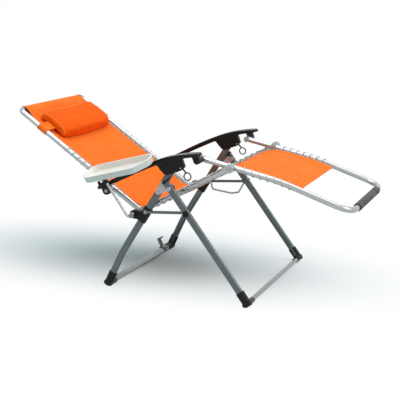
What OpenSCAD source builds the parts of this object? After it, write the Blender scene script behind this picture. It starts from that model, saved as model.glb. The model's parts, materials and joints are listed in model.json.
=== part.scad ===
// Folding zero gravity recliner with laced sling, head roll and side tray.
// Millimetres. X runs to the feet, Y to the sitter's left, Z up. The floor is Z = 0.

/* [Legs] */
// Wide side of the flat-oval leg tube
leg_w = 28; // [25:1:30]
// Thin side of the flat-oval leg tube
leg_t = 16; // [14:0.5:17]
// Wall of the leg tube
leg_wall = 1.6; // [1.2:0.1:2]
// Lean of the rear leg above its bend, from level
rear_lean = 58; // [57:0.5:59]
// Lean of the rear leg below its bend, from level
rear_foot_lean = 64; // [62:0.5:66]
// Lean of the front leg, from level
front_lean = 52.8; // [52.5:0.1:53.5]
// Length of the foot caps up the leg
foot_cap_h = 50; // [42:1:58]
// Length of the foot caps along the foot bar
foot_cap_l = 42; // [36:1:50]
// Wall of the foot caps
foot_cap_wall = 3.2; // [2.4:0.1:3.6]
// Length of the sliding sleeves
sleeve_l = 62; // [54:1:68]
// Wall of the sliding sleeves
sleeve_wall = 4; // [3:0.1:4.5]
// Thickness of the strut bar
strut_t = 4; // [3:0.1:4.4]
// Height of the strut bar
strut_h = 11; // [9:0.5:13]
// Width of the bail wire under the left strut
bail_w = 8; // [6:0.5:9]

/* [Tubes] */
// Diameter of the round seat, back and leg-rest tubes
tube_d = 22; // [20:0.5:23]
// Wall of the round tubes
tube_wall = 1.6; // [1.2:0.1:2.2]
// Half the distance between the two back tubes
back_half = 242; // [236:1:248]
// Length of the back from the hip pivot to the head bar
back_len = 650; // [630:5:680]
// Bend radius at the head bar
head_bend = 18; // [17:0.5:24]
// Length of the leg rest from the knee pivot to the end bar
leg_len = 474; // [455:5:500]
// Bend radius at the foot end
foot_bend = 60; // [48:1:70]
// Radius of the hinge eyes
eye_r = 13; // [12.5:0.1:14]
// Radius of the hip, knee and arm pins
pin_r = 5; // [4.5:0.1:5.4]
// Outer radius of the hinge bushes
bush_r = 8; // [7.4:0.1:8.6]

/* [Sling] */
// Distance from the middle of the side tubes to the edge of the sling
sling_gap = 28; // [26:0.5:34]
// Thickness of the woven sling
sling_t = 1.8; // [1.4:0.1:2.4]
// How far the back of the sling sags
back_sag = 15; // [8:1:18]
// How far the seat of the sling sags
seat_sag = 17; // [8:1:20]
// Length of sling on the leg rest
leg_sling_l = 272; // [250:2:290]
// Thickness of the elastic lacing cord
cord_d = 3.2; // [2.6:0.1:3.4]
// Distance between lacing turns
lace_pitch = 29; // [27:0.5:32]
// How far the head roll ends short of the sling on each side
roll_inset = 12; // [10:1:24]
// Distance from the middle of the head roll to the head bar
roll_drop = 130; // [124:1:140]
// Width of the head roll along the back
roll_w = 158; // [140:2:166]
// Width of the band that holds the head roll
strap_w = 44; // [36:1:56]
// Thickness of the head roll in front of the sling
roll_t = 54; // [44:1:60]

/* [Arms] */
// Width of the arm pads
arm_w = 52; // [46:1:56]
// Length of the arm pads
arm_l = 464; // [456:1:470]
// Reach of the arm pads behind their rear pivots
arm_over = 25; // [22:1:28]
// Height of the middle of the pad above the pivots
arm_rise = 52; // [48:1:56]
// Radius of the lock ring
ring_r = 14; // [12:0.5:16]
// Thickness of the lock ring
ring_d = 5; // [4:0.5:6]

/* [Tray] */
// Length of the tray
tray_l = 272; // [260:2:290]
// Width of the tray
tray_w = 112; // [104:2:120]
// Outward slope of the tray
tray_roll = 16; // [12:1:18]
// Depth of the tray
tray_h = 24; // [20:1:27]
// Wall of the tray
tray_wall = 3; // [2.4:0.1:3.6]
// Diameter of the tray arm
tray_rod_d = 10; // [9:0.5:11]

/* [Hidden] */
$fn = 40;
tr = tube_d / 2;
fit = 0.05;
gap = 0.4;

// Side-view points, [x, z], in the reclined pose of the picture
leg_top = [-24, 486];
leg_hinge = [-18, 424];
hip = [-180, 305];
knee = [199, 507];
hip_k = norm(knee - hip);
seat_a = atan2(knee[1] - hip[1], knee[0] - hip[0]);
back_a = 145.7;
arm_rear_s = 144.6;
arm_front_s = 121;
arm_rear = hip + arm_rear_s * dir(back_a);
arm_front = knee - arm_front_s * dir(-11.5);
arm_a = atan2(arm_front[1] - arm_rear[1], arm_front[0] - arm_rear[0]);
leg_a1 = -11.5;
leg_a2 = -18.5;
leg_b1 = 186;
strut_drop = 196;
bend_drop = 404;
strut_rear = leg_top - strut_drop * dir(rear_lean);
front_a = -front_lean;
strut_front = leg_hinge + 113 * dir(front_a);
rear_bend = leg_top - bend_drop * dir(rear_lean);
function foot_z(lean) = (leg_w - leg_t) / 2 * cos(lean) + leg_t / 2 + foot_cap_wall - 1.8;
front_foot = leg_hinge + (leg_hinge[1] - foot_z(front_lean)) / sin(front_lean) * dir(front_a);
rear_foot = rear_bend - (rear_bend[1] - foot_z(rear_foot_lean)) / sin(rear_foot_lean) * dir(rear_foot_lean);

// Layers from the middle of the chair out to one side
seat_half = back_half + tube_d + 2;
arm_in = seat_half + tr + cord_d + 0.8;
rear_half = arm_in + sleeve_wall + leg_t / 2;
strut_in = rear_half + leg_t / 2 + sleeve_wall + 1.4;
front_half = strut_in + strut_t + 1.5 + leg_t / 2;
arm_mid = arm_in + arm_w / 2;
sling_half = back_half - sling_gap;
roll_l = 2 * (sling_half - roll_inset);
roll_s = back_len - roll_drop;

function dir(a) = [cos(a), sin(a)];
function left(a) = [-sin(a), cos(a)];
function xz(p, y) = [p[0], y, p[1]];
function unit(v) = v / norm(v);
function turn(P, i) =
  let (a = P[i] - P[i - 1], b = P[i + 1] - P[i])
  atan2(a[0] * b[1] - a[1] * b[0], a[0] * b[0] + a[1] * b[1]);
function cut(P, R, i) = i == 0 || i == len(P) - 1 ? 0 : R * tan(abs(turn(P, i)) / 2);

// A bar of one section along a flat path with rounded corners; bends stand a hair proud of the straights
module path(P, R, w, t) {
  e = min(0.5, 0.04 * R);
  for (i = [0 : len(P) - 2]) {
    d = unit(P[i + 1] - P[i]);
    a = P[i] + (i == 0 ? 0 : cut(P, R, i) - e) * d;
    b = P[i + 1] - (i == len(P) - 2 ? 0 : cut(P, R, i + 1) - e) * d;
    translate([a[0], a[1], 0]) rotate([0, 0, atan2(d[1], d[0])]) rotate([90, 0, 90])
      linear_extrude(norm(b - a)) oval(w, t);
  }
  if (len(P) > 2) for (i = [1 : len(P) - 2]) {
    d = unit(P[i] - P[i - 1]);
    h = atan2(d[1], d[0]);
    n = turn(P, i);
    s = sign(n);
    c = P[i] - cut(P, R, i) * d + s * R * left(h);
    translate([c[0], c[1], 0]) rotate([0, 0, s > 0 ? h - 90 : h + 90 + n])
      rotate_extrude(angle = abs(n), $fn = 96) translate([R, 0]) oval(w + 0.1, t + 0.1);
  }
}
// The same, standing in the side view at a given Y
module side_path(P, R, y, w, t) {
  translate([0, y, 0]) rotate([90, 0, 0]) path(P, R, w, t);
}
module oval(w, t) {
  if (w == t) circle(t / 2);
  else {
    square([w - t, t], center = true);
    for (s = [-1, 1]) translate([s * (w - t) / 2, 0]) circle(t / 2);
  }
}
// A round bar across the chair from y0 to y1
module pin(p, y0, y1, r) {
  translate(xz(p, max(y0, y1))) rotate([90, 0, 0]) cylinder(r = r, h = abs(y1 - y0));
}
module both() {
  children();
  mirror([0, 1, 0]) children();
}
// Local frame at a side-view point, X along the given direction
module at(p, a, y = 0) {
  translate(xz(p, y)) rotate([0, -a, 0]) children();
}

// Rear legs and their foot bar
module rear_leg_tubes() {
  color("silver") both() difference() {
    side_path([leg_top - 6 * dir(rear_lean), rear_bend, rear_foot], 260, -rear_half, leg_w, leg_t);
    side_path([leg_top - 5 * dir(rear_lean), rear_bend, rear_foot - 2 * dir(rear_foot_lean)],
      260, -rear_half, leg_w - 2 * leg_wall, leg_t - 2 * leg_wall);
  }
}
module foot_bar(p, lean, half) {
  translate(xz(p, 0)) rotate([0, 90 - lean, 0]) rotate([90, 0, 0])
    linear_extrude(2 * (half - leg_t / 2 - gap), center = true) difference() {
      oval(leg_w, leg_t);
      oval(leg_w - 2 * leg_wall, leg_t - 2 * leg_wall);
    }
}
module rear_foot_bar() {
  color("silver") foot_bar(rear_foot, rear_foot_lean, rear_half);
}
// Corner cap: grips the leg and the bar, open on the inside of the corner
module foot_cap(p, lean, half) {
  w = leg_w + 2 * foot_cap_wall;
  t = leg_t + 2 * foot_cap_wall;
  e = gap / 2;
  difference() {
    translate(xz(p, -half)) rotate([0, 90 - lean, 0]) union() {
      translate([0, 0, -t / 2]) linear_extrude(foot_cap_h + t / 2) oval(w, t);
      rotate([-90, 0, 0]) translate([0, 0, -t / 2]) linear_extrude(foot_cap_l + t / 2) oval(w, t);
    }
    translate(xz(p, -half)) rotate([0, 90 - lean, 0]) {
      translate([0, 0, -leg_t / 2 - e]) linear_extrude(foot_cap_h + leg_t)
        oval(leg_w + 2 * e, leg_t + 2 * e);
      rotate([-90, 0, 0]) translate([0, 0, -leg_t / 2 - e]) linear_extrude(foot_cap_l + leg_t)
        oval(leg_w + 2 * e, leg_t + 2 * e);
      translate([-leg_w / 4, leg_t / 2 - 1, leg_t / 2 - 1])
        cube([leg_w / 2, foot_cap_l + 9, foot_cap_h + 9]);
    }
    translate([p[0] - 100, -half - 100, -50]) cube([200, 200, 50]);
  }
}
module rear_foot_caps() {
  color("#202020") both() foot_cap(rear_foot, rear_foot_lean, rear_half);
}
// Hinge plate riveted to the outside of the rear leg, with the front leg's pivot
module leg_hinge_plates() {
  y0 = rear_half + leg_t / 2 + 0.3;
  f1 = leg_top - 62 * dir(rear_lean);
  f2 = leg_top - 98 * dir(rear_lean);
  color("#9a9a9a") both() {
    difference() {
      translate([0, -y0, 0]) rotate([90, 0, 0]) linear_extrude(4) union() {
        for (p = [f1, f2]) translate(p) circle(11);
        translate(leg_hinge) circle(13);
        polygon([f1 + 11 * left(rear_lean), f2 + 11 * left(rear_lean), f2 - [0, 11],
          leg_hinge - [4, 12], leg_hinge + [3, 12], f1 + [4, 10]]);
      }
      pin(leg_hinge, -y0 + 1, -y0 - 5, 5.2);
      for (p = [f1, f2]) pin(p, -y0 + 1, -y0 - 5, 2.7);
    }
    for (p = [f1, f2]) {
      pin(p, -y0 - 4.2, -y0 - 6, 5);
      pin(p, -y0 + 0.2, -y0 - 5, 2.5);
    }
  }
}
module leg_hinge_bolts() {
  y0 = rear_half + leg_t / 2 + 0.6;
  y1 = front_half + leg_t / 2 + 0.4;
  color("#6d6d6d") both() {
    pin(leg_hinge, -y0, -y1 - 3, 5);
    pin(leg_hinge, -y1, -y1 - 5, 9);
  }
}
// Rounded block on top of the rear leg that runs in the arm
module lock_blocks() {
  color("#202020") both() translate([0, -rear_half, 0]) rotate([90, 0, 0]) translate(leg_top)
    rotate([0, 0, rear_lean]) {
      difference() {
        translate([-4, 0, 0]) cylinder(r = leg_w / 2 - 3, h = leg_t - 0.6, center = true);
        translate([-65.7, -50, -50]) cube([60, 100, 100]);
      }
      rotate([90, 0, 90]) translate([0, 0, -26]) linear_extrude(22)
        oval(leg_w - 2 * leg_wall - 0.8, leg_t - 2 * leg_wall - 0.8);
    }
}
// Clip on the rear foot bar that takes the front bar when folded
module fold_clip() {
  w = leg_w + 7;
  t = leg_t + 7;
  color("#b9bcbc") difference() {
    translate(xz(rear_foot, 214)) rotate([0, 90 - rear_foot_lean, 0]) rotate([90, 0, 0])
      linear_extrude(24, center = true) {
        difference() {
          oval(w, t);
          oval(leg_w + 0.6, leg_t + 0.6);
        }
        rotate([0, 0, 51]) translate([-2.5, leg_w / 2 + 0.8]) {
          square([5, 40]);
          translate([0, 35]) square([17, 5]);
          translate([17, 37.5]) circle(3.6);
        }
      }
    translate(xz(rear_foot, 214) - [leg_w, leg_w, rear_foot.y]) cube([2 * leg_w, 2 * leg_w, 5]);
    translate(xz(rear_foot, 214) - [leg_w, leg_w, rear_foot.y + 10]) cube([2 * leg_w, 2 * leg_w, 11]);
  }
}

// Front legs and their foot bar
module front_leg_tubes() {
  color("silver") both() difference() {
    side_path([leg_hinge - 26 * dir(front_a), front_foot], 50, -front_half, leg_w, leg_t);
    side_path([leg_hinge - 27 * dir(front_a), front_foot + 2 * dir(front_a)], 50, -front_half,
      leg_w - 2 * leg_wall, leg_t - 2 * leg_wall);
    pin(leg_hinge, -front_half + leg_t, -front_half - leg_t, 5 + fit);
    pin(strut_front, -front_half, -front_half - leg_t, 4.3);
  }
}
module front_foot_bar() {
  color("silver") foot_bar(front_foot, 180 + front_a, front_half);
}
module front_foot_caps() {
  color("#202020") both() foot_cap(front_foot, 180 + front_a, front_half);
}
module front_leg_ends() {
  color("#202020") both() translate([0, -front_half, 0]) rotate([90, 0, 0])
    translate(leg_hinge - 26.4 * dir(front_a)) rotate([0, 0, front_a]) difference() {
      cylinder(r = leg_w / 2, h = leg_t, center = true);
      translate([0, -leg_w, -leg_t]) cube([leg_w, 2 * leg_w, 2 * leg_t]);
      translate([-leg_w - 9, -leg_w, -leg_t]) cube([leg_w, 2 * leg_w, 2 * leg_t]);
    }
}
module strut_knobs() {
  y1 = front_half + leg_t / 2 + 0.3;
  color("#202020") both() {
    pin(strut_front, -y1, -y1 - 7, 12);
    pin(strut_front, -y1 - 6, -y1 - 9, 9);
    pin(strut_front, -front_half + leg_t / 2 - leg_wall, -y1 - 2, 4);
  }
}

// Sleeves that slide on the rear legs and carry the hip and the struts
module leg_sleeves() {
  c = leg_top - (strut_drop + 16) * dir(rear_lean);
  w = leg_w + 2 * sleeve_wall;
  t = leg_t + 2 * sleeve_wall;
  color("#202020") both() difference() {
    union() {
      side_path([c - sleeve_l / 2 * dir(rear_lean), c + sleeve_l / 2 * dir(rear_lean)], 50,
        -rear_half, w, t);
      pin(hip, -rear_half + t / 2 + 0.2, -rear_half - t / 2 - 0.2, 17);
      translate([0, -rear_half, 0]) rotate([90, 0, 0]) linear_extrude(t - 1, center = true)
        polygon([hip + [-3, 16], hip + [-2, -16], c - 26 * dir(rear_lean), c + 14 * dir(rear_lean)]);
    }
    side_path([c - sleeve_l * dir(rear_lean), c + sleeve_l * dir(rear_lean)], 50, -rear_half,
      leg_w + 2 * fit, leg_t + 2 * fit);
    pin(hip, -rear_half + t, -rear_half - t, pin_r + 0.3);
    pin(strut_rear, -rear_half - leg_t / 2 + 1, -rear_half - t, pin_r + 0.3);
  }
}
// Hip pin with a socket outside for the tray arm, and the strut's rear stud
module hip_pins() {
  y0 = back_half - tr - 3;
  y1 = rear_half + leg_t / 2 + sleeve_wall + 0.4;
  color("#8c8c8c") both() {
    difference() {
      union() {
        pin(hip, -y0 + 2, -y1 - 24, pin_r);
        pin(hip, -y1, -y1 - 24, 10);
        pin(hip, -y0 + 0.4, -y0 + 3, 8.5);
      }
      pin(hip, -y1 - 2, -y1 - 30, tray_rod_d / 2 + fit);
    }
    pin(strut_rear, -rear_half - leg_t / 2 - 0.6, -strut_in - strut_t - 0.6, pin_r);
  }
}
module strut_bar(y) {
  a = atan2(strut_front[1] - strut_rear[1], strut_front[0] - strut_rear[0]);
  l = norm(strut_front - strut_rear);
  translate([0, y, 0]) rotate([90, 0, 0]) translate(strut_rear) rotate([0, 0, a])
    linear_extrude(strut_t, center = true) difference() {
      union() {
        circle(9.5);
        translate([l, 0]) circle(9.5);
        translate([0, -strut_h / 2]) square([l, strut_h]);
      }
      circle(pin_r + fit);
    }
}
module struts() {
  color("#a9a9a9") both() strut_bar(-strut_in - strut_t / 2);
}
// Bent wire under the left strut
module bail_wire() {
  y = strut_in + strut_t / 2;
  e = strut_front + 10.4 * unit([-17, -19]);
  color("#5a5a5a") side_path([strut_rear + [18, -strut_h / 2 - 0.6], strut_rear + [24, -34],
    e + [-56, -51], e + [-24, -44], e], 11, y, bail_w, strut_t + 1.6);
}

// Seat rails with an eye at the hip
module bore_eye(p, y, r) {
  pin(p, -y + tr + 0.5, -y - tr - 0.5, r);
}
module seat_bushes() {
  color("#d8d8d4") both() difference() {
    pin(hip, -seat_half + tr - 0.3, -seat_half - tr + 0.3, bush_r);
    pin(hip, -seat_half + tube_d, -seat_half - tube_d, pin_r + fit);
  }
}
module seat_rails() {
  e = knee - 17.6 * dir(seat_a);
  color("#c9cccd") both() difference() {
    union() {
      side_path([hip + (bush_r + 2) * dir(seat_a), e], 50, -seat_half, tube_d, tube_d);
      bore_eye(hip, seat_half, eye_r);
    }
    side_path([hip + (eye_r + 4) * dir(seat_a), e + dir(seat_a)], 50, -seat_half,
      tube_d - 2 * tube_wall, tube_d - 2 * tube_wall);
    pin(hip, -seat_half + tube_d, -seat_half - tube_d, bush_r + fit);
  }
}
module knee_blocks() {
  color("#d4d6d6") both() difference() {
    union() {
      pin(knee, -seat_half + tr + 0.6, -seat_half - tr - 0.6, 17);
      side_path([knee - 46 * dir(seat_a), knee - 8 * dir(seat_a)], 50, -seat_half,
        tube_d + 5.2, tube_d + 5.2);
    }
    side_path([knee - 60 * dir(seat_a), knee - 17.3 * dir(seat_a)], 50, -seat_half,
      tube_d + 0.6, tube_d + 0.6);
    pin(knee, -seat_half + tube_d, -seat_half - tube_d, pin_r + 0.3);
    for (y = [tr + 1, -tr - 21]) translate([knee[0] - 99, y - seat_half, knee[1] - 99])
      cube([198, 20, 198]);
  }
}
module knee_pins() {
  y0 = back_half - tr - 0.9;
  y1 = seat_half + tr + 1.2;
  color("#8c8c8c") both() {
    pin(knee, -y0 + 2.6, -y1 - 2, pin_r);
    pin(knee, -y1, -y1 - 2, 10);
    pin(knee, -y0, -y0 + 2.6, 9);
  }
}

// Where the sling runs: k = 0 back, 1 seat with the hip curve, 2 leg rest
hip_d = 44;
hip_r = hip_d * tan((back_a - seat_a) / 2);
hip_arc = hip_r * (180 - back_a + seat_a) * PI / 180;
hip_c = hip + hip_d * dir(back_a) + hip_r * left(back_a - 180);
function seat_at(s) = s < hip_arc
  ? let (a = back_a - 180 + s / hip_r * 180 / PI) [hip_c - hip_r * left(a), a]
  : [hip + (hip_d + s - hip_arc) * dir(seat_a), seat_a];
function leg_at(s) = s < leg_b1 ? [knee + s * dir(leg_a1), leg_a1 - 3.5 * s / leg_b1]
  : [knee + leg_b1 * dir(leg_a1) + (s - leg_b1) * dir(leg_a2),
    leg_a2 + 3.5 * max(0, 1 - (s - leg_b1) / 99)];
function place(k, s, w, n) = k == 0 ? xz(hip + s * dir(back_a) - n * left(back_a), -w)
  : let (q = k == 1 ? seat_at(s) : leg_at(s)) xz(q[0] + n * left(q[1]), w);
seat_s1 = hip_arc + hip_k - hip_d - 7;
function sag(k, u) = k == 0 ? -back_sag * (0.35 + 0.65 * sin(180 * u))
  : k == 1 ? -seat_sag * pow(sin(180 * min(1, 0.1 + 0.9 * u)), 0.8) : -3 * sin(180 * u);

// A thin sheet over one part of the sling
module sheet(k, s0, s1, nu, nv) {
  top = [for (i = [0 : nu], j = [0 : nv]) let (u = i / nu, v = 2 * j / nv - 1)
    place(k, s0 + (s1 - s0) * u, v * sling_half, sag(k, u) * (1 - v * v) + sling_t / 2)];
  low = [for (i = [0 : nu], j = [0 : nv]) let (u = i / nu, v = 2 * j / nv - 1)
    place(k, s0 + (s1 - s0) * u, v * sling_half, sag(k, u) * (1 - v * v) - sling_t / 2)];
  m = nv + 1;
  b = len(top);
  polyhedron(concat(top, low), concat(
    [for (i = [0 : nu - 1], j = [0 : nv - 1]) let (a = i * m + j, c = a + m)
      each [[a, a + 1, c + 1], [a, c + 1, c], [b + a, b + c + 1, b + a + 1], [b + a, b + c, b + c + 1]]],
    [for (i = [0 : nu - 1]) let (a = i * m, c = a + m, f = a + nv, g = c + nv)
      each [[a, c, b + c], [a, b + c, b + a], [f, b + g, g], [f, b + f, b + g]]],
    [for (j = [0 : nv - 1]) let (f = nu * m + j)
      each [[j, b + j + 1, j + 1], [j, b + j, b + j + 1], [f, f + 1, b + f + 1], [f, b + f + 1, b + f]]]));
}
// Elastic cord wound through the eyelets and round one tube
function full(x) = sign(x) * pow(abs(x), 0.6);
function lace_at(k, side, s0, half, t) =
  let (i = sling_half + 6.4, o = half + tr + cord_d / 2 + 0.5, b = tr + cord_d / 2 + 1.5)
  place(k, s0 + lace_pitch * t, side * ((i + o) / 2 - (o - i) / 2 * full(cos(360 * t))),
    b * full(sin(360 * t)));
module lace(k, side, s0, half, n) {
  per = 12;
  ns = 4;
  c = [for (i = [0 : n * per]) lace_at(k, side, s0, half, i / per)];
  last = len(c) - 1;
  pts = [for (i = [0 : last]) let (t = unit(c[min(last, i + 1)] - c[max(0, i - 1)]), e = i * lace_pitch / per,
      r = unit(place(k, s0 + 5 + e, 0, 0) - place(k, s0 + e, 0, 0)), u = unit(cross(t, r)), v = cross(t, u))
    for (j = [0 : ns - 1]) c[i] + cord_d / 2 * (cos(360 * j / ns) * u + sin(360 * j / ns) * v)];
  polyhedron(pts, concat(
    [for (i = [0 : last - 1], j = [0 : ns - 1]) let (q = (j + 1) % ns) each
      [[i * ns + j, i * ns + q, (i + 1) * ns + q], [i * ns + j, (i + 1) * ns + q, (i + 1) * ns + j]]],
    [[for (j = [ns - 1 : -1 : 0]) j], [for (j = [0 : ns - 1]) last * ns + j]]));
}
module laces(k, s0, half, n) {
  color("#d9d6cc") for (side = [-1, 1]) lace(k, side, s0, half, n);
}
// Metal eyelets in the hem of the sling
module eyelets(k, s0, n) {
  color("#b8b8b8") for (side = [-1, 1], i = [0 : n]) {
    c = place(k, s0 + lace_pitch * i, side * (sling_half + 6.4), 0);
    a = k == 0 ? back_a - 180 : k == 1 ? seat_a : leg_at(s0 + lace_pitch * i)[1];
    translate(c) rotate([0, -a, 0]) rotate_extrude()
      translate([cord_d / 2 + 0.7, -1.2]) square([3.2, 2.4]);
  }
}
seat_l0 = hip_arc + 30;
seat_n = floor((hip_k - hip_d - 78) / lace_pitch);
leg_l0 = 40;
leg_n = floor((leg_sling_l - 60) / lace_pitch);
back_l0 = arm_rear_s - 2 * lace_pitch;
back_n = floor((roll_s - roll_w / 2 - 10 - back_l0) / lace_pitch);
module seat_sling() {
  color("#f57a2c") sheet(1, 0, seat_s1, 22, 10);
}
module seat_lacing() {
  laces(1, seat_l0, seat_half, seat_n);
}
module seat_eyelets() {
  eyelets(1, seat_l0, seat_n);
}

// Leg rest, one tube from the arm fronts round the foot end
module knee_bushes() {
  color("#d8d8d4") both() difference() {
    pin(knee, -back_half + tr - 0.3, -back_half - tr + 0.3, bush_r);
    pin(knee, -back_half + tube_d, -back_half - tube_d, pin_r + fit);
  }
}
leg_end = leg_len - leg_b1;
leg_corner = knee + leg_b1 * dir(leg_a1);
leg_mid = leg_corner + (leg_end - foot_bend - 60) * dir(leg_a2);
module leg_shape(r, ext) {
  both() side_path([arm_front + ext * dir(leg_a1), leg_corner, leg_mid], 900, -back_half, 2 * r, 2 * r);
  e = foot_bend + 60;
  at(leg_mid, leg_a2) path([[-2, -back_half], [e, -back_half], [e, back_half], [-2, back_half]], foot_bend,
    2 * r + 0.1, 2 * r + 0.1);
}
module leg_rest_tube() {
  color("#d2d5d6") difference() {
    union() {
      leg_shape(tr, 0);
      both() {
        bore_eye(knee, back_half, eye_r);
        bore_eye(arm_front, back_half, eye_r - 1);
      }
    }
    difference() {
      leg_shape(tr - tube_wall, 16);
      both() pin(knee, -back_half + tube_d, -back_half - tube_d, eye_r + 3);
    }
    both() {
      pin(knee, -back_half + tube_d, -back_half - tube_d, bush_r + fit);
      pin(arm_front, -back_half + tube_d, -back_half - tube_d, 4.3);
    }
  }
}
// Grip on the end bar, in three lengths
module foot_grip() {
  l = back_half - foot_bend - 26;
  color("#4a4c4e") at(leg_corner + leg_end * dir(leg_a2), leg_a2) rotate([90, 0, 0]) difference() {
    union() {
      translate([0, 0, -l * 0.62]) cylinder(r = tr + 4.5, h = l * 1.24);
      for (s = [-1, 1]) translate([0, 0, s * l * 0.82 - l * 0.17]) cylinder(r = tr + 4.5, h = l * 0.34);
    }
    translate([0, 0, -l * 2]) cylinder(r = tr + 0.4, h = l * 4);
  }
}
module leg_sling() {
  color("#f57a2c") sheet(2, 7, leg_sling_l, 16, 8);
}
module leg_lacing() {
  laces(2, leg_l0, back_half, leg_n);
}
module leg_eyelets() {
  eyelets(2, leg_l0, leg_n);
}
module arm_front_pins() {
  color("#8c8c8c") both() {
    pin(arm_front, -back_half + tr + 0.9, -back_half - tr - 0.6, 4);
    pin(arm_front, -back_half + tr + 0.9, -back_half + tr + 3.5, 8);
  }
}

// Back rest
module back_bushes() {
  color("#d8d8d4") both() difference() {
    pin(hip, -back_half + tr - 0.3, -back_half - tr + 0.3, bush_r);
    pin(hip, -back_half + tube_d, -back_half - tube_d, pin_r + fit);
  }
}
module back_shape(r, s0) {
  at(hip, back_a) path([[s0, -back_half], [back_len, -back_half], [back_len, back_half], [s0, back_half]],
    head_bend, 2 * r, 2 * r);
}
module back_tube() {
  color("#d2d5d6") difference() {
    union() {
      back_shape(tr, bush_r + 2);
      both() bore_eye(hip, back_half, eye_r);
    }
    back_shape(tr - tube_wall, eye_r + 4);
    both() {
      pin(hip, -back_half + tube_d, -back_half - tube_d, bush_r + fit);
      pin(arm_rear, -back_half + tube_d, -back_half - tube_d, 4.3);
    }
  }
}
bar_half = back_half - head_bend;
head_bar = hip + back_len * dir(back_a);
back_s0 = hip_d + 2;
back_s1 = back_len - tr - 1;
// Back sling with a sewn tunnel round the head bar
module back_sling() {
  l = bar_half - 6;
  color("#f57a2c") union() {
    difference() {
      sheet(0, back_s0, back_s1, 20, 10);
      both() pin(head_bar, -l - 0.2, -l - 30, tr + 4);
    }
    difference() {
      pin(head_bar, -l, l, tr + 0.4 + sling_t);
      pin(head_bar, -l - 9, l + 9, tr + 0.4);
    }
  }
}
module back_lacing() {
  laces(0, back_l0, back_half, back_n);
}
module back_eyelets() {
  eyelets(0, back_l0, back_n);
}
module head_stops() {
  l = bar_half - 5.4;
  color("#202020") both() difference() {
    pin(head_bar, -l, -l - 4, tr + 2.4);
    pin(head_bar, -l + 9, -l - 9, tr + 0.3);
  }
}
module arm_rear_pins() {
  color("#8c8c8c") both() {
    pin(arm_rear, -back_half + tr + 0.4, -arm_in - 25, 4);
    pin(arm_rear, -back_half + tr + 0.4, -back_half + tr + 3, 8);
    pin(arm_rear, -back_half - tr - 0.4, -arm_in + 1.6, 7);
  }
}
// Head roll: a stuffed roll, flat where it lies on the sling
roll_end = 0.985 * roll_l / 2;
function roll_full(v) = pow(max(0, 1 - pow(abs(v), 5)), 0.36);
function roll_seat(s, w) = sag(0, (s - back_s0) / (back_s1 - back_s0)) * (1 - pow(w / sling_half, 2))
  + sling_t / 2 + 0.8;
module head_roll() {
  nv = 18;
  nt = 24;
  pts = [for (j = [0 : nv]) let (v = 0.985 * sin(90 * (2 * j / nv - 1)), g = roll_full(v), w = v * roll_l / 2)
    for (i = [0 : nt - 1]) let (a = 360 * i / nt, c = cos(a), h = sin(a),
      s = roll_s + roll_w / 2 * (0.5 + 0.5 * g) * sign(c) * pow(abs(c), 0.8))
      place(0, s, w, roll_seat(s, w) + 8 * (1 - g) + (h > 0 ? roll_t * g * pow(h, 0.85) : 0.3 * g * h))];
  color("#f57a2c") polyhedron(pts, concat(
    [for (j = [0 : nv - 1], i = [0 : nt - 1]) let (q = (i + 1) % nt) each
      [[j * nt + i, j * nt + q, (j + 1) * nt + q], [j * nt + i, (j + 1) * nt + q, (j + 1) * nt + i]]],
    [[for (i = [nt - 1 : -1 : 0]) i], [for (i = [0 : nt - 1]) nv * nt + i]]));
}
// One band from the roll's ends round the side tubes and behind the sling
module roll_straps() {
  t = 1.8;
  r = tr + 0.4 + t / 2;
  z = back_sag + 7;
  half = concat([[roll_end + 0.4, -r], [back_half - 14, -r]],
    [for (i = [0 : 16]) [back_half + r * sin(180 * i / 16), -r * cos(180 * i / 16)]],
    [[back_half - 14, r], [back_half - 70, z]]);
  m = len(half) - 1;
  P = concat(half, [for (i = [m : -1 : 0]) [-half[i][0], half[i][1]]]);
  last = len(P) - 1;
  N = [for (i = [0 : last]) let (d = unit(P[min(last, i + 1)] - P[max(0, i - 1)])) [-d[1], d[0]] * t / 2];
  color("#f07024") at(hip, back_a) translate([roll_s + 4, 0, 0]) rotate([90, 0, 90])
    linear_extrude(strap_w, center = true)
      polygon(concat([for (i = [0 : last]) P[i] + N[i]], [for (i = [last : -1 : 0]) P[i] - N[i]]));
}

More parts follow.
